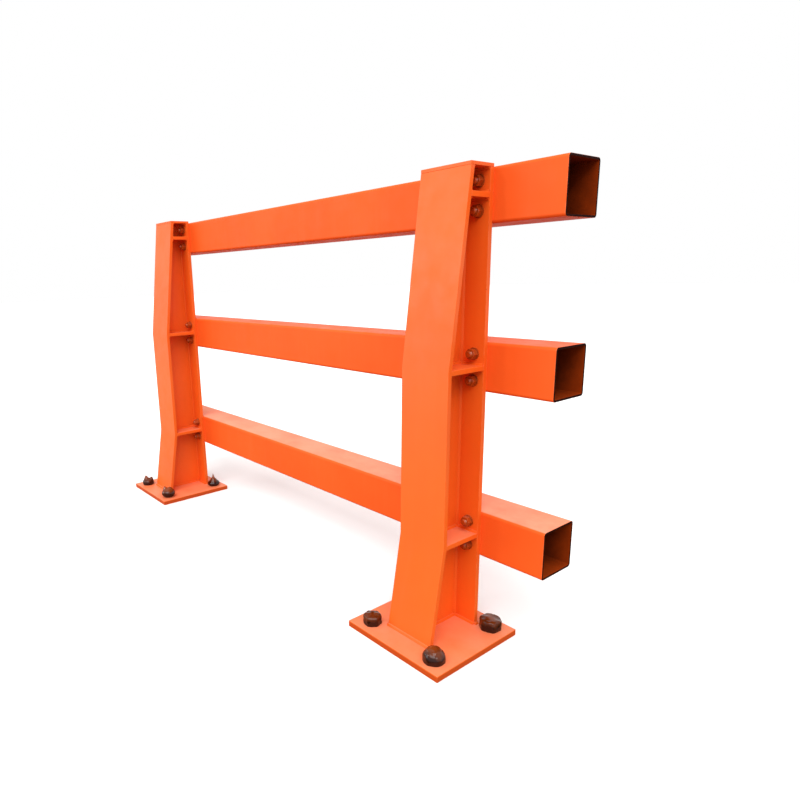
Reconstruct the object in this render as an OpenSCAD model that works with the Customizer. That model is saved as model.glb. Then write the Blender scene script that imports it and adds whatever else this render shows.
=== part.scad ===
// Three-rail highway guardrail section: two bolted-down plate posts carrying three
// square box rails on the traffic side. One post bay with a rail stub each end.
// X runs along the rails, Y from the posts toward the traffic, Z up.
// The origin is on the deck, under the base plate of post A, in line with the
// plane where the rails meet the posts (y = 0).

/* [Bay and rails] */
// Distance between the two posts, centre to centre
bay = 1500; // [900:10:2500]
// Length of rail past each post centre
stub = 250; // [130:5:600]
// Height of each rail tube
rail_h = 120; // [100:1:200]
// Depth of each rail tube, across the road
rail_d = 120; // [80:1:200]
// Wall of the rail tubes
rail_t = 5; // [3:0.5:8]
// Outside corner radius of the rail tubes
rail_r = 7.5; // [6:0.5:20]
// Height of the top rail's centre above the deck
rail_z_top = 1080; // [880:5:1400]
// Height of the middle rail's centre above the deck
rail_z_mid = 694; // [560:2:900]
// Height of the bottom rail's centre above the deck
rail_z_low = 268; // [200:2:400]

/* [Post plates] */
// Width of the post flanges along the rails
flange_w = 145; // [120:1:240]
// Thickness of the front and rear flanges
flange_t = 12; // [8:0.5:20]
// Thickness of the web
web_t = 12; // [6:0.5:16]
// Thickness of the stiffener plates
stiff_t = 12; // [8:0.5:16]
// Thickness of the cap plate
cap_t = 8; // [5:0.5:14]
// Height of the cap above the top rail's centre
cap_rise = 66; // [62:1:120]
// Depth of the post at the cap
depth_top = 78; // [70:1:140]
// Depth of the post at the middle rail
depth_mid = 137; // [100:1:200]
// Depth of the post at the bottom rail
depth_low = 140; // [100:1:200]
// Depth of the post at the base plate
depth_base = 184; // [150:1:220]

/* [Base and anchors] */
// Base plate size along the rails
base_x = 312; // [280:2:420]
// Base plate size across the road
base_y = 300; // [280:2:420]
// Base plate thickness
base_t = 16; // [12:1:30]
// How far the base plate reaches past the front of the post
base_lip = 50; // [40:1:90]
// Anchor spacing along the rails
anchor_x = 216; // [206:1:300]
// Anchor spacing across the road
anchor_y = 216; // [206:1:300]
// Anchor stud diameter
anchor_d = 24; // [20:1:30]
// Anchor nut size across flats
anchor_af = 36; // [34:1:50]
// Anchor nut height
anchor_nut_h = 22; // [18:1:30]
// Anchor washer diameter
anchor_washer_d = 44; // [40:1:60]
// Anchor washer thickness
anchor_washer_t = 4; // [3:0.5:8]
// Stud length standing above the nut
anchor_tip = 8; // [6:1:30]
// Chamfer on the stud's end
anchor_chamfer = 3; // [1:0.5:5]

/* [Rail bolts] */
// Rail bolt diameter
bolt_d = 16; // [12:1:20]
// Rail bolt spacing along the rail
bolt_x = 86; // [70:1:120]
// Rail bolt spacing up the rail
bolt_z = 64; // [52:1:90]
// Rail nut size across flats
nut_af = 24; // [19:1:30]
// Rail nut height
nut_h = 13; // [10:1:18]
// Round bolt head diameter
head_d = 34; // [26:1:44]
// Round bolt head height
head_h = 9; // [6:0.5:14]
// Bolt length standing past the nut
bolt_tip = 7; // [3:1:20]
// Thickness of the washer under each rail nut
washer_t = 3; // [2:0.5:4]
// Diameter of the washer under each rail nut
washer_d = 30; // [26:1:36]
// Chamfer on the rail bolt's end
bolt_chamfer = 1; // [0.5:0.5:3]
// Chamfer on the rail nut's rim
nut_chamfer = 1.5; // [0.5:0.5:2]

/* [Hidden] */
$fn = 48;
clear = 1;                     // room around each bolt in its hole
cap_z = rail_z_top + cap_rise; // top of the cap plate
post_z = cap_z - cap_t;        // top of the flanges and web
rail_zs = [rail_z_top, rail_z_mid, rail_z_low];
anchor_cy = base_lip - base_y / 2;
anchor_pos = [for (sx = [-1, 1], sy = [-1, 1])
    [sx * anchor_x / 2, anchor_cy + sy * anchor_y / 2]];
bolt_pos = [for (z = rail_zs, sx = [-1, 1], sz = [-1, 1])
    [sx * bolt_x / 2, z + sz * bolt_z / 2]];
// rear face of the post from the top down, as [y, z] at its ends and bends
rear_line = [[-depth_top, post_z], [-depth_mid, rail_z_mid],
             [-depth_low, rail_z_low], [-depth_base, base_t]];

// place of the post's rear face at height z
function rear_y(z) =
    z >= rail_z_mid ? blend(z, rear_line[1], rear_line[0]) :
    z >= rail_z_low ? blend(z, rear_line[2], rear_line[1]) :
                      blend(z, rear_line[3], rear_line[2]);
function blend(z, p, q) = p[0] + (q[0] - p[0]) * (z - p[1]) / (q[1] - p[1]);

// a hole cutter along +Z, standing out past both faces of a plate h thick
module drill(h, d) {
    translate([0, 0, -1]) cylinder(h = h + 2, d = d);
}

// a side outline drawn in (y, z), made into a plate of thickness t along X
module side_plate(t) {
    rotate([90, 0, 90]) linear_extrude(t, center = true) children();
}

// a hex nut standing on z = 0, its top rim turned down to a round face
module hex_nut(af, h, bore, chamfer) {
    corners = af / cos(30);
    difference() {
        intersection() {
            cylinder(h = h, d = corners, $fn = 6);
            union() {
                cylinder(h = h - chamfer, d = corners + 1);
                translate([0, 0, h - chamfer])
                    cylinder(h = chamfer, d1 = corners, d2 = corners - 3 * chamfer);
            }
        }
        drill(h, bore);
    }
}

// a flat round washer standing on z = 0
module washer(d, h, bore) {
    difference() {
        cylinder(h = h, d = d);
        drill(h, bore);
    }
}

// a plain rod standing on z = 0 with a chamfered top end
module rod(h, d, chamfer) {
    cylinder(h = h - chamfer, d = d);
    translate([0, 0, h - chamfer])
        cylinder(h = chamfer, d1 = d, d2 = d - 2 * chamfer);
}

// a low round bolt head standing on z = 0, a slice off a ball
module round_head(h, d) {
    ball_r = (h * h + d * d / 4) / (2 * h);
    intersection() {
        cylinder(h = h, d = d);
        translate([0, 0, h - ball_r]) sphere(ball_r);
    }
}

// ---------- rails ----------

// the tube's outline, drawn in by one inset all round, with round corners
module rail_section(inset, r) {
    w = rail_d - 2 * inset;
    h = rail_h - 2 * inset;
    square([w - 2 * r, h], center = true);
    square([w, h - 2 * r], center = true);
    for (sx = [-1, 1], sy = [-1, 1])
        translate([sx * (w / 2 - r), sy * (h / 2 - r)]) circle(r);
}

module rail(z) {
    color("orangered") difference() {
        translate([-stub, rail_d / 2, z]) rotate([90, 0, 90])
            linear_extrude(bay + 2 * stub) difference() {
                rail_section(0, rail_r);
                rail_section(rail_t, rail_r - rail_t);
            }
        for (px = [0, bay], sx = [-1, 1], sz = [-1, 1])
            translate([px + sx * bolt_x / 2, 0, z + sz * bolt_z / 2])
                rotate([-90, 0, 0]) drill(rail_d, bolt_d + 2 * clear);
    }
}

module rail_top() { rail(rail_z_top); }
module rail_middle() { rail(rail_z_mid); }
module rail_bottom() { rail(rail_z_low); }

// ---------- post plates ----------

module base_plate() {
    color("orange") difference() {
        translate([-base_x / 2, base_lip - base_y, 0]) cube([base_x, base_y, base_t]);
        for (p = anchor_pos) translate([p[0], p[1], 0])
            drill(base_t, anchor_d + 2 * clear);
    }
}

module front_flange() {
    color("orangered") difference() {
        translate([-flange_w / 2, -flange_t, base_t])
            cube([flange_w, flange_t, post_z - base_t]);
        for (p = bolt_pos) translate([p[0], -flange_t, p[1]])
            rotate([-90, 0, 0]) drill(flange_t, bolt_d + 2 * clear);
    }
}

// a bent plate: the rear line, and the same line one thickness further in
module rear_flange() {
    color("orange") side_plate(flange_w) polygon(concat(
        rear_line,
        [for (i = [3:-1:0]) [rear_line[i][0] + flange_t, rear_line[i][1]]]));
}

module web() {
    color("orangered") side_plate(web_t) polygon(concat(
        [for (p = rear_line) [p[0] + flange_t, p[1]]],
        [[-flange_t, base_t], [-flange_t, post_z]]));
}

module cap_plate() {
    color("orange") translate([-flange_w / 2, -depth_top, post_z])
        cube([flange_w, depth_top, cap_t]);
}

// two level plates, one each side of the web, filling the post's outline
module stiffeners(z) {
    lo = z - stiff_t / 2;
    hi = z + stiff_t / 2;
    bend = rear_y(z) + flange_t;
    color("orangered") for (s = [-1, 1])
        translate([s * (web_t + flange_w) / 4, 0, 0])
            side_plate((flange_w - web_t) / 2) polygon([
                [rear_y(lo) + flange_t, lo], [-flange_t, lo],
                [-flange_t, hi], [rear_y(hi) + flange_t, hi], [bend, z]]);
}

module stiffeners_upper() { stiffeners(rail_z_top); }
module stiffeners_middle() { stiffeners(rail_z_mid); }
module stiffeners_lower() { stiffeners(rail_z_low); }

// ---------- anchors ----------

module anchor_studs() {
    top = base_t + anchor_washer_t + anchor_nut_h + anchor_tip;
    color("sienna") for (p = anchor_pos) translate([p[0], p[1], 0])
        rod(top, anchor_d, anchor_chamfer);
}

module anchor_washers() {
    color("sienna") for (p = anchor_pos) translate([p[0], p[1], base_t])
        washer(anchor_washer_d, anchor_washer_t, anchor_d);
}

module anchor_nuts() {
    color("sienna") for (p = anchor_pos)
        translate([p[0], p[1], base_t + anchor_washer_t])
            hex_nut(anchor_af, anchor_nut_h, anchor_d, nut_chamfer * 2);
}

// ---------- rail bolts ----------

// each bolt goes in from the traffic face, through the rail and the front flange
module rail_bolts() {
    reach = flange_t + washer_t + nut_h + bolt_tip;
    color("orangered") for (p = bolt_pos) translate([p[0], rail_d, p[1]]) {
        rotate([90, 0, 0]) rod(rail_d + reach, bolt_d, bolt_chamfer);
        rotate([-90, 0, 0]) round_head(head_h, head_d);
    }
}

module rail_washers() {
    color("orangered") for (p = bolt_pos) translate([p[0], -flange_t, p[1]])
        rotate([90, 0, 0]) washer(washer_d, washer_t, bolt_d);
}

module rail_nuts() {
    color("orangered") for (p = bolt_pos)
        translate([p[0], -flange_t - washer_t, p[1]]) rotate([90, 0, 0])
            hex_nut(nut_af, nut_h, bolt_d, nut_chamfer);
}

// ---------- post A stands at the origin, post B one bay along ----------

module at_b() { translate([bay, 0, 0]) children(); }

module base_plate_a() { base_plate(); }
module front_flange_a() { front_flange(); }
module rear_flange_a() { rear_flange(); }
module web_a() { web(); }
module cap_plate_a() { cap_plate(); }
module stiffeners_upper_a() { stiffeners_upper(); }
module stiffeners_middle_a() { stiffeners_middle(); }
module stiffeners_lower_a() { stiffeners_lower(); }
module anchor_studs_a() { anchor_studs(); }
module anchor_washers_a() { anchor_washers(); }
module anchor_nuts_a() { anchor_nuts(); }
module rail_bolts_a() { rail_bolts(); }
module rail_washers_a() { rail_washers(); }
module rail_nuts_a() { rail_nuts(); }

module base_plate_b() { at_b() base_plate(); }
module front_flange_b() { at_b() front_flange(); }
module rear_flange_b() { at_b() rear_flange(); }
module web_b() { at_b() web(); }
module cap_plate_b() { at_b() cap_plate(); }
module stiffeners_upper_b() { at_b() stiffeners_upper(); }
module stiffeners_middle_b() { at_b() stiffeners_middle(); }
module stiffeners_lower_b() { at_b() stiffeners_lower(); }
module anchor_studs_b() { at_b() anchor_studs(); }
module anchor_washers_b() { at_b() anchor_washers(); }
module anchor_nuts_b() { at_b() anchor_nuts(); }
module rail_bolts_b() { at_b() rail_bolts(); }
module rail_washers_b() { at_b() rail_washers(); }
module rail_nuts_b() { at_b() rail_nuts(); }

rail_top();
rail_middle();
rail_bottom();
base_plate_a();
front_flange_a();
rear_flange_a();
web_a();
cap_plate_a();
stiffeners_upper_a();
stiffeners_middle_a();
stiffeners_lower_a();
anchor_studs_a();
anchor_washers_a();
anchor_nuts_a();
rail_bolts_a();
rail_washers_a();
rail_nuts_a();
base_plate_b();
front_flange_b();
rear_flange_b();
web_b();
cap_plate_b();
stiffeners_upper_b();
stiffeners_middle_b();
stiffeners_lower_b();
anchor_studs_b();
anchor_washers_b();
anchor_nuts_b();
rail_bolts_b();
rail_washers_b();
rail_nuts_b();
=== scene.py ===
import math

import bpy
from mathutils import Matrix, Vector


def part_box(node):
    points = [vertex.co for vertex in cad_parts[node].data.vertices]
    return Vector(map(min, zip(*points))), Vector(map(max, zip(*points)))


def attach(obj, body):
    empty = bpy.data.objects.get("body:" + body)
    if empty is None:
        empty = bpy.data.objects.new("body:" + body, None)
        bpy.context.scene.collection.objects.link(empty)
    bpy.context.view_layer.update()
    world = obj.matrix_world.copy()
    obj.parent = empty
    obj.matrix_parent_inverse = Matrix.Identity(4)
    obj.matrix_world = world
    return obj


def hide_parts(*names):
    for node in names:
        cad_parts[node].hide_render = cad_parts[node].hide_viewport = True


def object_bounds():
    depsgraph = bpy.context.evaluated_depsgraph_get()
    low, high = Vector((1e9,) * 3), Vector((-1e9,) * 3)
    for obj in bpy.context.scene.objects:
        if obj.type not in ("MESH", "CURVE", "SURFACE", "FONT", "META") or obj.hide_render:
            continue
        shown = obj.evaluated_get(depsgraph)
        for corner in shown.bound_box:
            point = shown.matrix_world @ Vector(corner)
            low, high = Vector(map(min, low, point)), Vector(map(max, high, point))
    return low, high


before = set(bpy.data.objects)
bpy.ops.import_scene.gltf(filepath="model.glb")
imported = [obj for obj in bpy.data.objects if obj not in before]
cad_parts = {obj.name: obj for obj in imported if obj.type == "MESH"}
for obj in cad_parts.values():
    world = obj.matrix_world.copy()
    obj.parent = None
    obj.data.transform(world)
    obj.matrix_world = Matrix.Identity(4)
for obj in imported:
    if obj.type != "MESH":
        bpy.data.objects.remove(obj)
cad_low, cad_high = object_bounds()

# Base plates: one square of 16 mm hot-rolled plate under each post, drilled for four anchors.
# The outline is flame-cut and ground, so every arris is a little round under the coating.
# Satin orange polyester powder covers all of it: thin and paler along the edges, partly as painted
# highlight, and duller and deeper in colour in the corners, partly as painted shade.


def select_only(*pieces):
    """Leaves just these pieces selected, with the first one active."""
    bpy.ops.object.select_all(action="DESELECT")
    for piece in pieces:
        piece.select_set(True)
    bpy.context.view_layer.objects.active = pieces[0]


def apply_modifiers(piece):
    """Applies every modifier of a piece, from the top down."""
    select_only(piece)
    for modifier in list(piece.modifiers):
        bpy.ops.object.modifier_apply(modifier=modifier.name)


def merged_copy(node, name):
    """A free copy of a frame node, its loose triangles merged into whole flat faces."""
    piece = bpy.data.objects.new(name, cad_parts[node].data.copy())
    bpy.context.scene.collection.objects.link(piece)
    piece.data.materials.clear()
    select_only(piece)
    bpy.ops.mesh.customdata_custom_splitnormals_clear()
    bpy.ops.object.mode_set(mode="EDIT")
    bpy.ops.mesh.select_all(action="SELECT")
    bpy.ops.mesh.remove_doubles(threshold=0.00001)
    bpy.ops.mesh.dissolve_limited(angle_limit=math.radians(0.5))
    bpy.ops.object.mode_set(mode="OBJECT")
    return piece


def ease_edges(piece, width, steps=2):
    """Rounds the sharp arrises by a small bevel, and keeps the flat faces shaded flat."""
    bevel = piece.modifiers.new("eased_arris", "BEVEL")
    bevel.limit_method = "ANGLE"
    bevel.angle_limit = math.radians(40)
    bevel.width = width
    bevel.segments = steps
    bevel.use_clamp_overlap = True
    select_only(piece)
    bpy.ops.object.modifier_apply(modifier=bevel.name)
    bpy.ops.object.shade_smooth_by_angle(angle=math.radians(46))
    weighted = piece.modifiers.new("flat_faces", "WEIGHTED_NORMAL")
    weighted.keep_sharp = True
    weighted.weight = 50
    bpy.ops.object.modifier_apply(modifier=weighted.name)


def linear(hex_colour):
    """Turns an sRGB hex colour into the linear RGBA that Blender mixes in."""
    channels = []
    for start in (1, 3, 5):
        value = int(hex_colour[start : start + 2], 16) / 255
        if value <= 0.04045:
            channels.append(value / 12.92)
        else:
            channels.append(((value + 0.055) / 1.055) ** 2.4)
    return (*channels, 1.0)


def add(tree, kind, inputs=None, **settings):
    """Adds a node with its settings; each input is a plain value, or a socket to link from."""
    node = tree.nodes.new(kind)
    for name, value in settings.items():
        setattr(node, name, value)
    for name, value in (inputs or {}).items():
        if isinstance(value, bpy.types.NodeSocket):
            tree.links.new(value, node.inputs[name])
        else:
            node.inputs[name].default_value = value
    return node


def satin_powder_coat(name, colour, deep, thin_coat_and_highlight, roughness, gloss, arris, dust_and_sheen, peel):
    """Satin polyester powder coating, sprayed dry and baked to one even skin over steel.

    It is opaque, half glossy and slightly orange-peeled, and it thins over arrises, where its
    paler band is partly painted highlight.
    """
    material = bpy.data.materials.new(name)
    material.use_nodes = True
    tree = material.node_tree
    tree.nodes.clear()
    place = add(tree, "ShaderNodeTexCoord").outputs["Object"]

    # The powder builds up unevenly, in soft clouds about 350 mm across.
    cloud = add(
        tree,
        "ShaderNodeTexNoise",
        {"Vector": place, "Scale": 1 / 0.350, "Detail": 3.0, "Roughness": 0.55},
    )
    cloud_fac = add(
        tree,
        "ShaderNodeMapRange",
        {"Value": cloud.outputs["Fac"], "From Min": 0.36, "From Max": 0.64, "To Max": 0.30},
    ).outputs["Result"]
    clouded = add(
        tree,
        "ShaderNodeMix",
        {0: cloud_fac, 6: linear(colour), 7: linear(deep)},
        data_type="RGBA",
    ).outputs[2]

    # Rain and wiping leave faint upright streaks, about 25 mm wide and 600 mm long.
    stretched = add(
        tree,
        "ShaderNodeMapping",
        {"Vector": place, "Scale": (1 / 0.025, 1 / 0.025, 1 / 0.600)},
    ).outputs["Vector"]
    streak = add(
        tree,
        "ShaderNodeTexNoise",
        {"Vector": stretched, "Scale": 1.0, "Detail": 2.0, "Roughness": 0.5},
    )
    streak_fac = add(
        tree,
        "ShaderNodeMapRange",
        {"Value": streak.outputs["Fac"], "From Min": 0.50, "From Max": 0.80, "To Max": 0.04},
    ).outputs["Result"]
    streaked = add(
        tree,
        "ShaderNodeMix",
        {0: streak_fac, 6: clouded, 7: linear(thin_coat_and_highlight)},
        data_type="RGBA",
    ).outputs[2]

    # Within about 30 mm of an inner corner the colour deepens by ambient occlusion: painted shade,
    # and grime settling there.
    corner = add(
        tree, "ShaderNodeAmbientOcclusion", {"Distance": 0.030}, samples=6
    ).outputs["AO"]
    corner_shade_and_grime_fac = add(
        tree,
        "ShaderNodeMapRange",
        {"Value": corner, "From Min": 0.85, "From Max": 0.30, "To Max": 0.55},
    ).outputs["Result"]
    corner_shaded = add(
        tree,
        "ShaderNodeMix",
        {0: corner_shade_and_grime_fac, 6: streaked, 7: linear(deep)},
        data_type="RGBA",
    ).outputs[2]

    # Level faces are paler, partly from road dust and partly from a painted sheen of the white
    # sky: most on those near the deck, little above 0.7 m.
    facing = add(
        tree, "ShaderNodeSeparateXYZ", {0: add(tree, "ShaderNodeNewGeometry").outputs["Normal"]}
    ).outputs["Z"]
    level = add(
        tree, "ShaderNodeMapRange", {"Value": facing, "From Min": 0.80, "From Max": 0.98}
    ).outputs["Result"]
    height = add(tree, "ShaderNodeSeparateXYZ", {0: place}).outputs["Z"]
    height_dust_and_sheen = add(
        tree,
        "ShaderNodeMapRange",
        {"Value": height, "From Min": 0.75, "From Max": 0.30, "To Min": 0.03, "To Max": dust_and_sheen},
    ).outputs["Result"]
    drift = add(
        tree,
        "ShaderNodeTexNoise",
        {"Vector": place, "Scale": 1 / 0.120, "Detail": 5.0, "Roughness": 0.65},
    )
    drift_fac = add(
        tree,
        "ShaderNodeMapRange",
        {"Value": drift.outputs["Fac"], "From Min": 0.30, "From Max": 0.62, "To Min": 0.5},
    ).outputs["Result"]
    level_dust_and_sheen = add(
        tree, "ShaderNodeMath", {0: level, 1: height_dust_and_sheen}, operation="MULTIPLY"
    ).outputs["Value"]
    dust_and_sheen_fac = add(
        tree, "ShaderNodeMath", {0: level_dust_and_sheen, 1: drift_fac}, operation="MULTIPLY"
    ).outputs["Value"]
    dusted_and_sheened = add(
        tree,
        "ShaderNodeMix",
        {0: dust_and_sheen_fac, 6: corner_shaded, 7: linear("#F2D0B2")},
        data_type="RGBA",
    ).outputs[2]

    # The colour darkens over the lowest 15 mm, along the base plates' edges.
    lowest_darkening_fac = add(
        tree,
        "ShaderNodeMapRange",
        {"Value": height, "From Min": 0.0155, "From Max": 0.0120, "To Max": 0.70},
    ).outputs["Result"]
    lowest_darkened = add(
        tree,
        "ShaderNodeMix",
        {0: lowest_darkening_fac, 6: dusted_and_sheened, 7: linear("#B23A0C")},
        data_type="RGBA",
    ).outputs[2]

    # Over an arris the skin is thin and paler in a narrow band, in broken lengths; that band is
    # partly a painted highlight along the edge.
    rounded = add(tree, "ShaderNodeBevel", {"Radius": arris}, samples=6).outputs["Normal"]
    flat = add(tree, "ShaderNodeNewGeometry").outputs["Normal"]
    turn = add(
        tree, "ShaderNodeVectorMath", {0: rounded, 1: flat}, operation="DOT_PRODUCT"
    ).outputs["Value"]
    edge = add(
        tree, "ShaderNodeMapRange", {"Value": turn, "From Min": 0.98, "From Max": 0.80}
    ).outputs["Result"]
    broken = add(
        tree,
        "ShaderNodeTexNoise",
        {"Vector": place, "Scale": 1 / 0.018, "Detail": 4.0, "Roughness": 0.65},
    )
    broken_fac = add(
        tree,
        "ShaderNodeMapRange",
        {"Value": broken.outputs["Fac"], "From Min": 0.40, "From Max": 0.60},
    ).outputs["Result"]
    thin_edge_and_highlight_fac = add(
        tree, "ShaderNodeMath", {0: edge, 1: broken_fac}, operation="MULTIPLY"
    ).outputs["Value"]
    edge_thinned_and_highlighted = add(
        tree,
        "ShaderNodeMix",
        {0: thin_edge_and_highlight_fac, 6: lowest_darkened, 7: linear(thin_coat_and_highlight)},
        data_type="RGBA",
    ).outputs[2]

    # Here and there a knock has chipped an edge through to the brown primer.
    chip = add(
        tree,
        "ShaderNodeTexNoise",
        {"Vector": place, "Scale": 1 / 0.009, "Detail": 3.0, "Roughness": 0.6},
    )
    chip_fac = add(
        tree,
        "ShaderNodeMapRange",
        {"Value": chip.outputs["Fac"], "From Min": 0.66, "From Max": 0.70},
    ).outputs["Result"]
    chipped = add(
        tree, "ShaderNodeMath", {0: edge, 1: chip_fac}, operation="MULTIPLY"
    ).outputs["Value"]
    finished = add(
        tree,
        "ShaderNodeMix",
        {0: chipped, 6: edge_thinned_and_highlighted, 7: linear("#6B2A12")},
        data_type="RGBA",
    ).outputs[2]

    # Dust dulls the sheen in patches about 60 mm across, and most in the corners.
    patch = add(
        tree,
        "ShaderNodeTexNoise",
        {"Vector": place, "Scale": 1 / 0.060, "Detail": 4.0, "Roughness": 0.6},
    )
    dusty = add(
        tree,
        "ShaderNodeMapRange",
        {
            "Value": patch.outputs["Fac"],
            "From Min": 0.35,
            "From Max": 0.68,
            "To Min": roughness - 0.05,
            "To Max": roughness + 0.10,
        },
    ).outputs["Result"]
    dulled = add(
        tree, "ShaderNodeMath", {0: corner_shade_and_grime_fac, 1: 0.25, 2: dusty}, operation="MULTIPLY_ADD"
    ).outputs["Value"]

    # Orange peel is 2-3 mm from crest to crest; it is drawn at 7 mm so that it shows.
    skin = add(
        tree,
        "ShaderNodeTexNoise",
        {"Vector": place, "Scale": 1 / 0.007, "Detail": 2.0, "Roughness": 0.5},
    )
    # Grit baked into the powder stands up as sparse nibs about 2 mm across.
    nib = add(
        tree,
        "ShaderNodeTexVoronoi",
        {"Vector": place, "Scale": 1 / 0.035, "Randomness": 1.0},
    )
    nib_fac = add(
        tree,
        "ShaderNodeMapRange",
        {"Value": nib.outputs["Distance"], "From Min": 0.05, "From Max": 0.02},
    ).outputs["Result"]
    relief = add(
        tree,
        "ShaderNodeMath",
        {0: nib_fac, 1: 1.5, 2: skin.outputs["Fac"]},
        operation="MULTIPLY_ADD",
    ).outputs["Value"]
    bump = add(
        tree,
        "ShaderNodeBump",
        {"Height": relief, "Strength": 0.5, "Distance": peel},
    ).outputs["Normal"]

    shader = add(
        tree,
        "ShaderNodeBsdfPrincipled",
        {
            "Base Color": finished,
            "Roughness": dulled,
            "Normal": bump,
            "IOR": 1.45,
            "Specular IOR Level": gloss,
        },
    )
    add(tree, "ShaderNodeOutputMaterial", {"Surface": shader.outputs["BSDF"]})
    return material


post_coat = satin_powder_coat(
    "satin_orange_powder_coat_on_plate",
    colour="#EF661C",
    deep="#DC4F10",
    thin_coat_and_highlight="#FA8450",
    roughness=0.42,
    gloss=0.35,
    arris=0.0025,
    dust_and_sheen=0.22,
    peel=0.00012,
)

ground_arris = 0.0015
for post in ("a", "b"):
    base_plate = merged_copy("base_plate_" + post, "coated_base_plate_" + post)
    ease_edges(base_plate, ground_arris)
    base_plate.data.materials.append(post_coat)
    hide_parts("base_plate_" + post)
    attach(base_plate, "root")

# Post plates: 12 mm flanges, a 12 mm web and three pairs of 12 mm stiffeners under an 8 mm cap.
# All are flame-cut from hot-rolled plate and dressed, and the rear flange is pressed to its bends.
# Flush ends are welded and ground before coating, so their arrises are hardly eased at all.
dressed_arris = 0.0008
for post in ("a", "b"):
    for plate in (
        "rear_flange_",
        "web_",
        "front_flange_",
        "stiffeners_lower_",
        "stiffeners_middle_",
        "stiffeners_upper_",
        "cap_plate_",
    ):
        post_plate = merged_copy(plate + post, "coated_" + plate + post)
        ease_edges(post_plate, dressed_arris)
        post_plate.data.materials.append(post_coat)
        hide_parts(plate + post)
        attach(post_plate, "root")

# Weld beads: 5 mm fillets of MAG weld in every inner corner of a post, coated with the plates.
# One ripple of weld metal is modelled, and copies of it are stacked along each corner.
# A bead bites into both plates it joins, as the melted metal does. Its face is an arc that ends
# one leg out along each plate, round a centre that lies one leg behind the face of each.
leg = 0.005
bite = 0.001
swell = 1.07
ripple_length = 0.004
bead_radius = 2.236 * leg

bpy.ops.object.select_all(action="DESELECT")
bpy.ops.mesh.primitive_circle_add(
    vertices=32,
    radius=bead_radius,
    fill_type="NGON",
    location=(0, -leg, -leg),
    rotation=(0, math.radians(90), 0),
)
weld_ripple = bpy.context.object
weld_ripple.name = "weld_ripple"
bpy.ops.object.transform_apply(location=True, rotation=True, scale=True)
bpy.ops.object.mode_set(mode="EDIT")
for cut in ((0, 1, 0), (0, 0, 1)):
    bpy.ops.mesh.select_all(action="SELECT")
    bpy.ops.mesh.bisect(
        plane_co=(0, -bite, -bite), plane_no=cut, use_fill=False, clear_inner=True
    )
bpy.ops.mesh.select_all(action="SELECT")
bpy.ops.mesh.remove_doubles(threshold=0.00001)
for scale in (swell, 1 / swell):
    bpy.ops.mesh.extrude_region_move(
        TRANSFORM_OT_translate={"value": (ripple_length / 2, 0, 0)}
    )
    bpy.ops.transform.resize(
        value=(1, scale, scale), center_override=(0, -bite, -bite)
    )
bpy.ops.mesh.select_all(action="SELECT")
bpy.ops.mesh.normals_make_consistent(inside=False)
bpy.ops.object.mode_set(mode="OBJECT")
for face in weld_ripple.data.polygons:
    face.select = abs(face.normal.x) > 0.999
bpy.ops.object.mode_set(mode="EDIT")
bpy.ops.mesh.select_mode(type="FACE")
bpy.ops.mesh.delete(type="ONLY_FACE")
bpy.ops.object.mode_set(mode="OBJECT")


def weld_bead(start, end, side_a, side_b):
    """Stacks ripples from start to end in the corner between two faces, and closes both ends."""
    start, end = Vector(start), Vector(end)
    run = (end - start).normalized()
    leg_a = Vector(side_a).normalized()
    leg_b = Vector(side_b).normalized()
    if run.cross(leg_a).dot(leg_b) < 0:
        leg_a, leg_b = leg_b, leg_a
    bead = weld_ripple.copy()
    bead.data = weld_ripple.data.copy()
    bpy.context.scene.collection.objects.link(bead)
    stack = bead.modifiers.new("stack", "ARRAY")
    stack.count = max(2, round((end - start).length / ripple_length))
    stack.use_relative_offset = False
    stack.use_constant_offset = True
    stack.constant_offset_displace = ((end - start).length / stack.count, 0, 0)
    stack.use_merge_vertices = True
    stack.merge_threshold = 0.0006
    apply_modifiers(bead)
    bpy.ops.object.mode_set(mode="EDIT")
    bpy.ops.mesh.select_mode(type="EDGE")
    bpy.ops.mesh.select_all(action="DESELECT")
    bpy.ops.mesh.select_non_manifold()
    bpy.ops.mesh.fill_holes(sides=0)
    bpy.ops.object.mode_set(mode="OBJECT")
    turn = Matrix((run, leg_a, leg_b)).transposed().to_4x4()
    bead.matrix_world = Matrix.Translation(start) @ turn
    bpy.ops.object.transform_apply(location=True, rotation=True, scale=True)
    return bead


web_low, web_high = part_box("web_a")
flange_low, flange_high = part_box("rear_flange_a")
plate_low, plate_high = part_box("base_plate_a")
cap_low, cap_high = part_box("cap_plate_a")
web_corners = {
    (round(v.co.y, 4), round(v.co.z, 4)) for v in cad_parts["web_a"].data.vertices
}
web_back = sorted(
    (corner for corner in web_corners if corner[0] < web_high.y - 0.001),
    key=lambda corner: corner[1],
)


def web_back_at(z):
    """How far back the web's sloping rear edge lies at a height."""
    for (y0, z0), (y1, z1) in zip(web_back, web_back[1:]):
        if z <= z1:
            return y0 + (y1 - y0) * (z - z0) / (z1 - z0)
    return web_back[-1][0]


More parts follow.
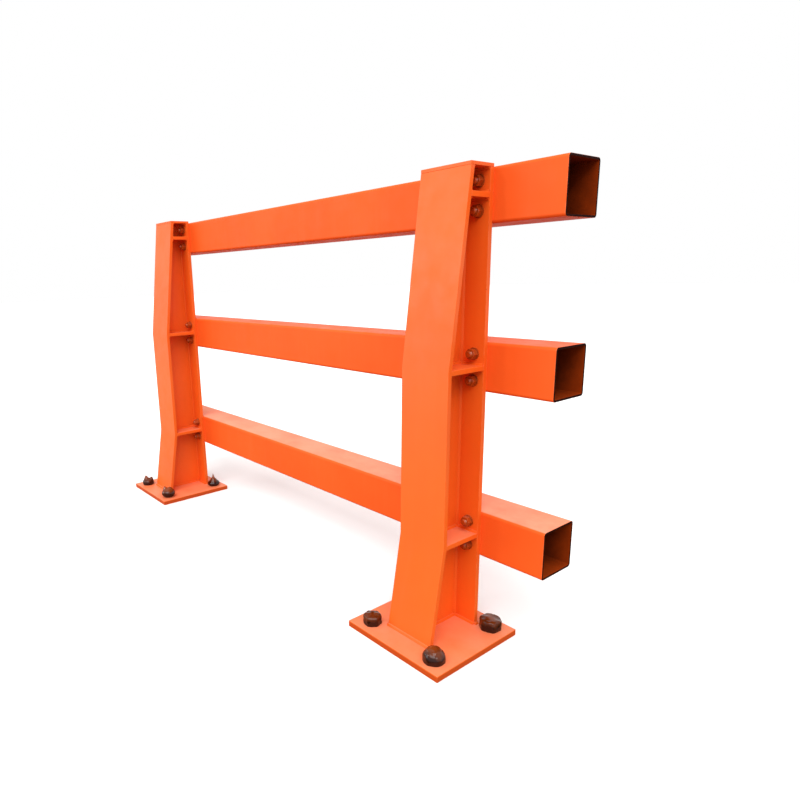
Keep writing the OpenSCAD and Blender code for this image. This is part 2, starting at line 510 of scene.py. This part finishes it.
# Stiffener seams stop just short of the flange edges.
setback = 0.002
beads = []
for side in (-1, 1):
    web_face = side * web_high.x
    out = (side, 0, 0)
    front = web_high.y
    # The long seams that join the web to both flanges.
    for (y0, z0), (y1, z1) in zip(web_back, web_back[1:]):
        slope = Vector((0, z1 - z0, y0 - y1))
        beads.append(weld_bead((web_face, y0, z0), (web_face, y1, z1), out, slope))
    beads.append(
        weld_bead((web_face, front, web_low.z), (web_face, front, web_high.z), out, (0, -1, 0))
    )
    # Three short seams round each face of each stiffener, and under the cap and over the base.
    ledges = [(web_low.z, 1), (web_high.z, -1)]
    for plate in ("stiffeners_lower_a", "stiffeners_middle_a", "stiffeners_upper_a"):
        stiffener_low, stiffener_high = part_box(plate)
        ledges.append((stiffener_high.z, 1))
        ledges.append((stiffener_low.z, -1))
    for z, up in ledges:
        back = web_back_at(z)
        edge = side * (flange_high.x - setback)
        rise = (0, 0, up)
        beads.append(weld_bead((web_face, back, z), (web_face, front, z), out, rise))
        beads.append(weld_bead((web_face, front, z), (edge, front, z), (0, -1, 0), rise))
        beads.append(weld_bead((web_face, back, z), (edge, back, z), (0, 1, 0), rise))
    # The foot of each flange edge.
    for toe, heel in ((0.0, front), (flange_low.y, web_back[0][0])):
        foot = side * flange_high.x
        beads.append(
            weld_bead((foot, heel, plate_high.z), (foot, toe, plate_high.z), out, (0, 0, 1))
        )
# The feet of both flanges, across their outer faces.
for y, away in ((0.0, 1), (flange_low.y, -1)):
    beads.append(
        weld_bead(
            (flange_low.x, y, plate_high.z),
            (flange_high.x, y, plate_high.z),
            (0, away, 0),
            (0, 0, 1),
        )
    )
weld_coat = satin_powder_coat(
    "satin_orange_powder_coat_on_weld",
    colour="#EC621A",
    deep="#D2480C",
    thin_coat_and_highlight="#F67C46",
    roughness=0.42,
    gloss=0.25,
    arris=0.0015,
    dust_and_sheen=0.22,
    peel=0.00020,
)
select_only(*beads)
bpy.ops.object.join()
welds_a = bpy.context.object
welds_a.name = "weld_beads_a"
bpy.ops.object.shade_smooth_by_angle(angle=math.radians(40))
welds_a.data.materials.append(weld_coat)
welds_b = welds_a.copy()
welds_b.data = welds_a.data.copy()
welds_b.name = "weld_beads_b"
bpy.context.scene.collection.objects.link(welds_b)
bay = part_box("base_plate_b")[0].x - plate_low.x
welds_b.data.transform(Matrix.Translation((bay, 0, 0)))
bpy.data.objects.remove(weld_ripple)
for welds in (welds_a, welds_b):
    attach(welds, "root")

# Rails: three 120 mm square tubes of hot-finished steel, 5 mm thick, saw-cut square at both ends.
# The outside is powder-coated; the bores keep their mill scale, with overspray in at the mouths.
rail_coat = satin_powder_coat(
    "satin_orange_powder_coat_on_tube",
    colour="#F56022",
    deep="#DE4A12",
    thin_coat_and_highlight="#FB8252",
    roughness=0.46,
    gloss=0.12,
    arris=0.0050,
    dust_and_sheen=0.44,
    peel=0.00010,
)

# Mill scale is the oxide skin of hot steel, dull and dark, and the bore's dark colour is also
# painted shade. Powder drifts in at the mouths and fades out over about 130 mm, in blotches 20-60
# mm across; the fade is partly painted light falling off into the shade deeper in. The saw cuts
# are near black.
bore_scale_and_shade = bpy.data.materials.new("mill_scale_overspray_and_painted_shade_in_tube")
bore_scale_and_shade.use_nodes = True
tree = bore_scale_and_shade.node_tree
tree.nodes.clear()
place = add(tree, "ShaderNodeTexCoord").outputs["Object"]
rail_low, rail_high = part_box("rail_top")
along = add(tree, "ShaderNodeSeparateXYZ", {0: place}).outputs["X"]
centred = add(
    tree, "ShaderNodeMath", {0: along, 1: (rail_low.x + rail_high.x) / 2}, operation="SUBTRACT"
).outputs["Value"]
outward = add(tree, "ShaderNodeMath", {0: centred}, operation="ABSOLUTE").outputs["Value"]
mouth = (rail_high.x - rail_low.x) / 2
fade = 0.07
blotch = add(
    tree,
    "ShaderNodeTexNoise",
    {"Vector": place, "Scale": 1 / 0.045, "Detail": 5.0, "Roughness": 0.6},
)
ragged = add(
    tree,
    "ShaderNodeMath",
    {0: blotch.outputs["Fac"], 1: 0.12, 2: outward},
    operation="MULTIPLY_ADD",
).outputs["Value"]
drift_fac = add(
    tree,
    "ShaderNodeMapRange",
    {"Value": ragged, "From Min": mouth - fade, "From Max": mouth + fade},
).outputs["Result"]
overspray_and_depth_shade = add(
    tree,
    "ShaderNodeMix",
    {0: drift_fac, 6: linear("#180805"), 7: linear("#8E3207")},
    data_type="RGBA",
).outputs[2]
end_on = add(
    tree, "ShaderNodeSeparateXYZ", {0: add(tree, "ShaderNodeNewGeometry").outputs["Normal"]}
).outputs["X"]
sawn = add(tree, "ShaderNodeMath", {0: end_on}, operation="ABSOLUTE").outputs["Value"]
sawn_fac = add(
    tree, "ShaderNodeMapRange", {"Value": sawn, "From Min": 0.7, "From Max": 0.9}
).outputs["Result"]
scaled = add(
    tree,
    "ShaderNodeMix",
    {0: sawn_fac, 6: overspray_and_depth_shade, 7: linear("#240602")},
    data_type="RGBA",
).outputs[2]
flake = add(
    tree,
    "ShaderNodeTexNoise",
    {"Vector": place, "Scale": 1 / 0.006, "Detail": 3.0, "Roughness": 0.6},
)
flake_rough = add(
    tree,
    "ShaderNodeMapRange",
    {
        "Value": flake.outputs["Fac"],
        "From Min": 0.3,
        "From Max": 0.7,
        "To Min": 0.5,
        "To Max": 0.8,
    },
).outputs["Result"]
flake_bump = add(
    tree,
    "ShaderNodeBump",
    {"Height": flake.outputs["Fac"], "Strength": 0.6, "Distance": 0.0002},
).outputs["Normal"]
shader = add(
    tree,
    "ShaderNodeBsdfPrincipled",
    {
        "Base Color": scaled,
        "Roughness": flake_rough,
        "Normal": flake_bump,
        "IOR": 1.45,
        "Specular IOR Level": 0.05,
    },
)
add(tree, "ShaderNodeOutputMaterial", {"Surface": shader.outputs["BSDF"]})

# The bore's faces lie at 0.92 of the half width, and the outer faces at 1.
bore_share = 0.94
end_ease = 0.0006
for level in ("top", "middle", "bottom"):
    rail = merged_copy("rail_" + level, "coated_rail_" + level)
    ease_edges(rail, end_ease, 1)
    rail.data.materials.append(rail_coat)
    rail.data.materials.append(bore_scale_and_shade)
    rail_low, rail_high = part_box("rail_" + level)
    for face in rail.data.polygons:
        from_middle = face.center - (rail_low + rail_high) / 2
        half = (rail_high - rail_low) / 2
        off_centre = max(abs(from_middle.y) / half.y, abs(from_middle.z) / half.z)
        inside = off_centre < bore_share
        cut_end = abs(face.normal.x) > 0.9
        face.select = inside or cut_end
    bpy.context.view_layer.objects.active = rail
    rail.active_material_index = 1
    bpy.ops.object.mode_set(mode="EDIT")
    bpy.ops.mesh.select_mode(type="FACE")
    bpy.ops.object.material_slot_assign()
    bpy.ops.object.mode_set(mode="OBJECT")
    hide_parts("rail_" + level)
    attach(rail, "root")

# Rail bolts: M16 round-headed bolts, four to a rail at each post, with their heads on the
# traffic side. Head and shank are forged, the thread is rolled, and all is coated over.
# Washers and hexagon nuts behind the front flange are the frame's own, under the same coat.
# The fixings wear the plates' orange; their browner, darker colour here is painted shade, for nuts
# that sit in the shade between the flanges.
shade_darkened_fixing_coat = satin_powder_coat(
    "satin_orange_powder_coat_on_fixings_darkened_for_shade",
    colour="#B0440E",
    deep="#742806",
    thin_coat_and_highlight="#DE7638",
    roughness=0.24,
    gloss=0.60,
    arris=0.0010,
    dust_and_sheen=0.10,
    peel=0.00025,
)
head_radius = 0.017
shank_radius = 0.008
thread_pitch = 0.002
thread_depth = 0.0010
bolts_low, bolts_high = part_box("rail_bolts_a")
washers_low, washers_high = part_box("rail_washers_a")
rail_low, rail_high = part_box("rail_top")
head_face = rail_high.y

bolt_profile = [
    (0.0, bolts_high.y),
    (0.0060, bolts_high.y - 0.0005),
    (0.0110, bolts_high.y - 0.0020),
    (0.0148, bolts_high.y - 0.0045),
    (head_radius, bolts_high.y - 0.0078),
    (head_radius, head_face),
    (shank_radius, head_face),
    (shank_radius, washers_high.y),
]
y = washers_high.y
while y - thread_pitch > bolts_low.y + 0.0015:
    bolt_profile.append((shank_radius - thread_depth, y - thread_pitch / 2))
    bolt_profile.append((shank_radius, y - thread_pitch))
    y -= thread_pitch
bolt_profile.append((shank_radius - 0.0015, bolts_low.y))
bolt_profile.append((0.0, bolts_low.y))


def turned(name, profile, steps):
    """Draws a profile of (radius, y) points edge by edge, then spins it about the Y axis."""
    bpy.ops.object.select_all(action="DESELECT")
    bpy.ops.mesh.primitive_plane_add(size=0.001, location=(0, profile[0][1], profile[0][0]))
    piece = bpy.context.object
    piece.name = name
    bpy.ops.object.transform_apply(location=True, rotation=True, scale=True)
    bpy.ops.object.mode_set(mode="EDIT")
    bpy.ops.mesh.select_mode(type="VERT")
    bpy.ops.mesh.select_all(action="SELECT")
    bpy.ops.mesh.merge(type="CENTER")
    for (r0, y0), (r1, y1) in zip(profile, profile[1:]):
        bpy.ops.mesh.extrude_region_move(
            TRANSFORM_OT_translate={"value": (0, y1 - y0, r1 - r0)}
        )
    bpy.ops.mesh.select_all(action="SELECT")
    bpy.ops.mesh.spin(steps=steps, angle=2 * math.pi, center=(0, 0, 0), axis=(0, 1, 0))
    bpy.ops.mesh.select_all(action="SELECT")
    bpy.ops.mesh.remove_doubles(threshold=0.00002)
    bpy.ops.mesh.normals_make_consistent(inside=False)
    bpy.ops.object.mode_set(mode="OBJECT")
    return piece


bolt = turned("rail_bolt", bolt_profile, 24)
bpy.ops.object.shade_smooth_by_angle(angle=math.radians(40))
for post in ("a", "b"):
    post_low, post_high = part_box("rail_bolts_" + post)
    offset_z = post_high.z - head_radius - (rail_low.z + rail_high.z) / 2
    row = []
    for level in ("top", "middle", "bottom"):
        level_low, level_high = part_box("rail_" + level)
        rail_centre = (level_low.z + level_high.z) / 2
        for x in (post_low.x + head_radius, post_high.x - head_radius):
            for z in (rail_centre - offset_z, rail_centre + offset_z):
                copy = bolt.copy()
                copy.data = bolt.data.copy()
                copy.data.transform(Matrix.Translation((x, 0, z)))
                bpy.context.scene.collection.objects.link(copy)
                row.append(copy)
    select_only(*row)
    bpy.ops.object.join()
    bolts = bpy.context.object
    bolts.name = "coated_rail_bolts_" + post
    bolts.data.materials.append(shade_darkened_fixing_coat)
    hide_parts("rail_bolts_" + post)
    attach(bolts, "root")
    for fixing in ("rail_washers_", "rail_nuts_"):
        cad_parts[fixing + post].data.materials.clear()
        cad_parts[fixing + post].data.materials.append(shade_darkened_fixing_coat)
bpy.data.objects.remove(bolt)

# Anchor coats: every anchor's washer, nut and stud end is buried in brushed-on bitumen.
# It goes on hot over the nut, slumps to a smooth lump with the hexagon just showing through,
# and pulls up tips as the brush lifts. Each lump sits on the plate, round the trimmed M24 stud.
bitumen = bpy.data.materials.new("glossy_brown_bitumen")
bitumen.use_nodes = True
tree = bitumen.node_tree
tree.nodes.clear()
place = add(tree, "ShaderNodeTexCoord").outputs["Object"]
plate_low, plate_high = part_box("base_plate_a")
# It is a thin amber brown on the crown and near black at the foot: partly the coat draining off
# the crown, partly painted light on the crown and painted shade at the foot.
height = add(tree, "ShaderNodeSeparateXYZ", {0: place}).outputs["Z"]
body = add(
    tree,
    "ShaderNodeTexNoise",
    {"Vector": place, "Scale": 1 / 0.022, "Detail": 3.0, "Roughness": 0.5},
)
drained_and_lit_height = add(
    tree,
    "ShaderNodeMath",
    {0: body.outputs["Fac"], 1: 0.030, 2: height},
    operation="MULTIPLY_ADD",
).outputs["Value"]
crown_coat_and_light_fac = add(
    tree,
    "ShaderNodeMapRange",
    {"Value": drained_and_lit_height, "From Min": plate_high.z + 0.030, "From Max": plate_high.z + 0.056},
).outputs["Result"]
brown = add(
    tree,
    "ShaderNodeMix",
    {0: crown_coat_and_light_fac, 6: linear("#260903"), 7: linear("#803A10")},
    data_type="RGBA",
).outputs[2]
# Brush marks curl round the lump, about 3 mm from ridge to ridge.
curl = add(
    tree,
    "ShaderNodeTexNoise",
    {"Vector": place, "Scale": 1 / 0.009, "Detail": 1.0, "Distortion": 1.2},
)
dull = add(
    tree,
    "ShaderNodeMapRange",
    {
        "Value": curl.outputs["Fac"],
        "From Min": 0.35,
        "From Max": 0.7,
        "To Min": 0.04,
        "To Max": 0.13,
    },
).outputs["Result"]
brushed = add(
    tree,
    "ShaderNodeBump",
    {"Height": curl.outputs["Fac"], "Strength": 0.3, "Distance": 0.0012},
).outputs["Normal"]
shader = add(
    tree,
    "ShaderNodeBsdfPrincipled",
    {
        "Base Color": brown,
        "Roughness": dull,
        "Normal": brushed,
        "IOR": 1.50,
        "Specular IOR Level": 0.34,
    },
)
add(tree, "ShaderNodeOutputMaterial", {"Surface": shader.outputs["BSDF"]})


def coat_lump(x, y, foot, width, side, crown, tight, turn, tips):
    """One lump: a hexagon drawn in over its crown, slumped smooth, with its tips pulled up.

    A small tight value keeps the nut's corners. Each tip is (dx, dy, reach, rise), and a
    negative rise is a side where the coat has run down.
    """
    bpy.ops.object.select_all(action="DESELECT")
    bpy.ops.mesh.primitive_cylinder_add(
        vertices=6,
        radius=0.56 * width,
        depth=side + 0.020,
        location=(x, y, foot + (side - 0.020) / 2),
        rotation=(0, 0, turn),
    )
    lump = bpy.context.object
    bpy.ops.object.transform_apply(location=True, rotation=True, scale=True)
    for face in lump.data.polygons:
        face.select = face.normal.z > 0.9
    bpy.ops.object.mode_set(mode="EDIT")
    bpy.ops.mesh.select_mode(type="FACE")
    bpy.ops.mesh.inset(thickness=0.10 * width)
    bpy.ops.transform.translate(value=(0, 0, 0.65 * crown))
    bpy.ops.mesh.inset(thickness=0.18 * width)
    bpy.ops.transform.translate(value=(0, 0, 0.35 * crown))
    bpy.ops.object.mode_set(mode="OBJECT")
    rim = lump.modifiers.new("coated_corners", "BEVEL")
    rim.width = tight
    rim.segments = 1
    smooth = lump.modifiers.new("slumped", "SUBSURF")
    smooth.levels = 3
    smooth.render_levels = 3
    skin = bpy.data.textures.new("bitumen_runs", "CLOUDS")
    skin.noise_scale = 0.012
    skin.noise_depth = 1
    uneven = lump.modifiers.new("uneven", "DISPLACE")
    uneven.texture = skin
    uneven.texture_coords = "LOCAL"
    uneven.strength = 0.0026
    uneven.mid_level = 0.5
    apply_modifiers(lump)
    for dx, dy, reach, rise in tips:
        bpy.ops.object.mode_set(mode="EDIT")
        bpy.ops.mesh.select_mode(type="VERT")
        bpy.ops.mesh.select_all(action="DESELECT")
        bpy.ops.object.mode_set(mode="OBJECT")
        spot = Vector((x + dx, y + dy))
        top = max(lump.data.vertices, key=lambda v: v.co.z - 3 * (v.co.xy - spot).length)
        top.select = True
        bpy.ops.object.mode_set(mode="EDIT")
        bpy.ops.transform.translate(
            value=(0.15 * dx, 0.15 * dy, rise),
            use_proportional_edit=True,
            proportional_edit_falloff="SMOOTH",
            proportional_size=reach,
        )
        bpy.ops.object.mode_set(mode="OBJECT")
    bpy.ops.object.mode_set(mode="EDIT")
    bpy.ops.mesh.select_all(action="SELECT")
    bpy.ops.mesh.bisect(
        plane_co=(0, 0, foot), plane_no=(0, 0, 1), use_fill=True, clear_inner=True
    )
    bpy.ops.object.mode_set(mode="OBJECT")
    bpy.ops.object.shade_smooth_by_angle(angle=math.radians(60))
    return lump


# No two lumps are alike: width, side, crown, tight, turn and tips of the four at each post.
lump_shapes = {
    "a": (
        (
            0.053, 0.015, 0.012, 0.010, 0.2,
            (
                (-0.005, -0.007, 0.015, 0.016),
                (0.009, 0.012, 0.014, 0.010),
            ),
        ),
        (0.052, 0.014, 0.015, 0.012, 0.9, ((0.002, 0.004, 0.012, 0.010),)),
        (
            0.060, 0.018, 0.018, 0.012, 0.5,
            (
                (-0.008, -0.010, 0.013, 0.013),
                (0.004, 0.006, 0.016, 0.008),
            ),
        ),
        (
            0.056, 0.012, 0.014, 0.012, 1.1,
            (
                (0.000, 0.000, 0.022, 0.013),
                (0.001, 0.001, 0.006, 0.017),
            ),
        ),
    ),
    "b": (
        (
            0.049, 0.014, 0.012, 0.004, 0.3,
            (
                (-0.005, -0.006, 0.009, 0.002),
                (0.006, 0.007, 0.008, 0.002),
            ),
        ),
        (0.050, 0.013, 0.017, 0.010, 0.7, ()),
        (0.056, 0.014, 0.020, 0.014, 0.1, ((0.002, 0.002, 0.006, -0.001),)),
        (
            0.056, 0.018, 0.011, 0.004, 0.9,
            (
                (-0.004, -0.006, 0.012, 0.003),
                (0.014, 0.020, 0.022, -0.007),
            ),
        ),
    ),
}
washer_radius = 0.022
stud_stub = 0.020
stud_arris = 0.0010
for post in ("a", "b"):
    coat_low, coat_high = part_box("anchor_washers_" + post)
    lumps = []
    for x in (coat_low.x + washer_radius, coat_high.x - washer_radius):
        for y in (coat_low.y + washer_radius, coat_high.y - washer_radius):
            shape = lump_shapes[post][len(lumps)]
            lumps.append(coat_lump(x, y, coat_low.z, *shape))
    select_only(*lumps)
    bpy.ops.object.join()
    coats = bpy.context.object
    coats.name = "anchor_coats_" + post
    coats.data.materials.append(bitumen)
    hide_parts("anchor_nuts_" + post, "anchor_washers_" + post)
    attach(coats, "root")
    # The stud ends are cut back inside the lumps.
    studs = merged_copy("anchor_studs_" + post, "trimmed_anchor_studs_" + post)
    bpy.ops.object.mode_set(mode="EDIT")
    bpy.ops.mesh.select_all(action="SELECT")
    bpy.ops.mesh.bisect(
        plane_co=(0, 0, coat_low.z + stud_stub),
        plane_no=(0, 0, 1),
        use_fill=True,
        clear_outer=True,
    )
    bpy.ops.object.mode_set(mode="OBJECT")
    ease_edges(studs, stud_arris)
    studs.data.materials.append(bitumen)
    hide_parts("anchor_studs_" + post)
    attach(studs, "root")

# Studio: a white paper floor under a white sky, which is dimmer below, as over a real deck.
# A wide soft sun stands high on the open side of the webs, and a soft box and two small lamps
# behind the posts put the sheen on the flanges and the glints on the bitumen and the nuts.
floor_gap = 0.0005
bpy.ops.object.select_all(action="DESELECT")
bpy.ops.mesh.primitive_plane_add(
    size=60, location=(cad_low.x, cad_high.y, cad_low.z - floor_gap)
)
floor = bpy.context.object
floor.name = "floor"
bpy.ops.object.transform_apply(location=True, rotation=True, scale=True)
# The paper throws no light back up, so that undersides stay as dark as over a real deck.
floor.visible_diffuse = False
floor.visible_glossy = False
floor.visible_shadow = False
paper = bpy.data.materials.new("matt_white_backdrop_paper")
paper.use_nodes = True
tree = paper.node_tree
tree.nodes.clear()
place = add(tree, "ShaderNodeTexCoord").outputs["Object"]
fibre = add(
    tree, "ShaderNodeTexNoise", {"Vector": place, "Scale": 1 / 0.004, "Detail": 2.0}
)
fibre_bump = add(
    tree,
    "ShaderNodeBump",
    {"Height": fibre.outputs["Fac"], "Strength": 0.1, "Distance": 0.0001},
).outputs["Normal"]
shader = add(
    tree,
    "ShaderNodeBsdfPrincipled",
    {"Base Color": linear("#FDFDFC"), "Roughness": 0.85, "Normal": fibre_bump},
)
add(tree, "ShaderNodeOutputMaterial", {"Surface": shader.outputs["BSDF"]})
floor.data.materials.append(paper)

world = bpy.data.worlds.new("white_studio")
world.use_nodes = True
tree = world.node_tree
tree.nodes.clear()
ray = add(tree, "ShaderNodeTexCoord").outputs["Generated"]
rise = add(tree, "ShaderNodeSeparateXYZ", {0: ray}).outputs["Z"]
upward = add(
    tree, "ShaderNodeMapRange", {"Value": rise, "From Min": -0.40, "From Max": -0.05}
).outputs["Result"]
glow = add(
    tree,
    "ShaderNodeMix",
    {0: upward, 6: linear("#9A7450"), 7: linear("#FFFFFF")},
    data_type="RGBA",
).outputs[2]
sky = add(tree, "ShaderNodeBackground", {"Color": glow, "Strength": 1.0})
add(tree, "ShaderNodeOutputWorld", {"Surface": sky.outputs["Background"]})
bpy.context.scene.world = world
bpy.context.scene.view_settings.view_transform = "Standard"


def stand_lamp(lamp, place, aim):
    """Stands a lamp at a place, turned to face a point on the object."""
    stand = bpy.data.objects.new(lamp.name, lamp)
    stand.location = place
    stand.rotation_euler = (Vector(aim) - Vector(place)).to_track_quat("-Z", "Y").to_euler()
    bpy.context.scene.collection.objects.link(stand)


middle = (cad_low + cad_high) / 2
sun = bpy.data.lights.new("soft_sun", "SUN")
sun.energy = 2.0
sun.angle = math.radians(50)
stand_lamp(sun, middle + Vector((0.30, -0.32, 0.52)), middle)
near_post_top = (1.5, -0.1, 0.9)
for name, size, power, place in (
    ("soft_box", 3.2, 110, (-3.3, -5.1, 2.2)),
    ("left_glint_lamp", 0.18, 9, (0.6, -2.5, 2.4)),
    ("right_glint_lamp", 0.10, 3.5, (3.1, -1.7, 2.3)),
):
    box = bpy.data.lights.new(name, "AREA")
    box.shape = "SQUARE"
    box.size = size
    box.energy = power
    stand_lamp(box, place, near_post_top)

camera = bpy.data.cameras.new("camera")
camera.lens = 27.46
camera.shift_x = 0.100
camera.shift_y = 0.033
camera_stand = bpy.data.objects.new("camera", camera)
camera_stand.matrix_world = (
    Matrix.Translation((2.4689, -1.1907, 0.9187))
    @ Matrix.Rotation(math.radians(52.52), 4, "Z")
    @ Matrix.Rotation(math.radians(90 - 13.94), 4, "X")
    @ Matrix.Rotation(math.radians(-1.67), 4, "Z")
)
bpy.context.scene.collection.objects.link(camera_stand)
bpy.context.scene.camera = camera_stand
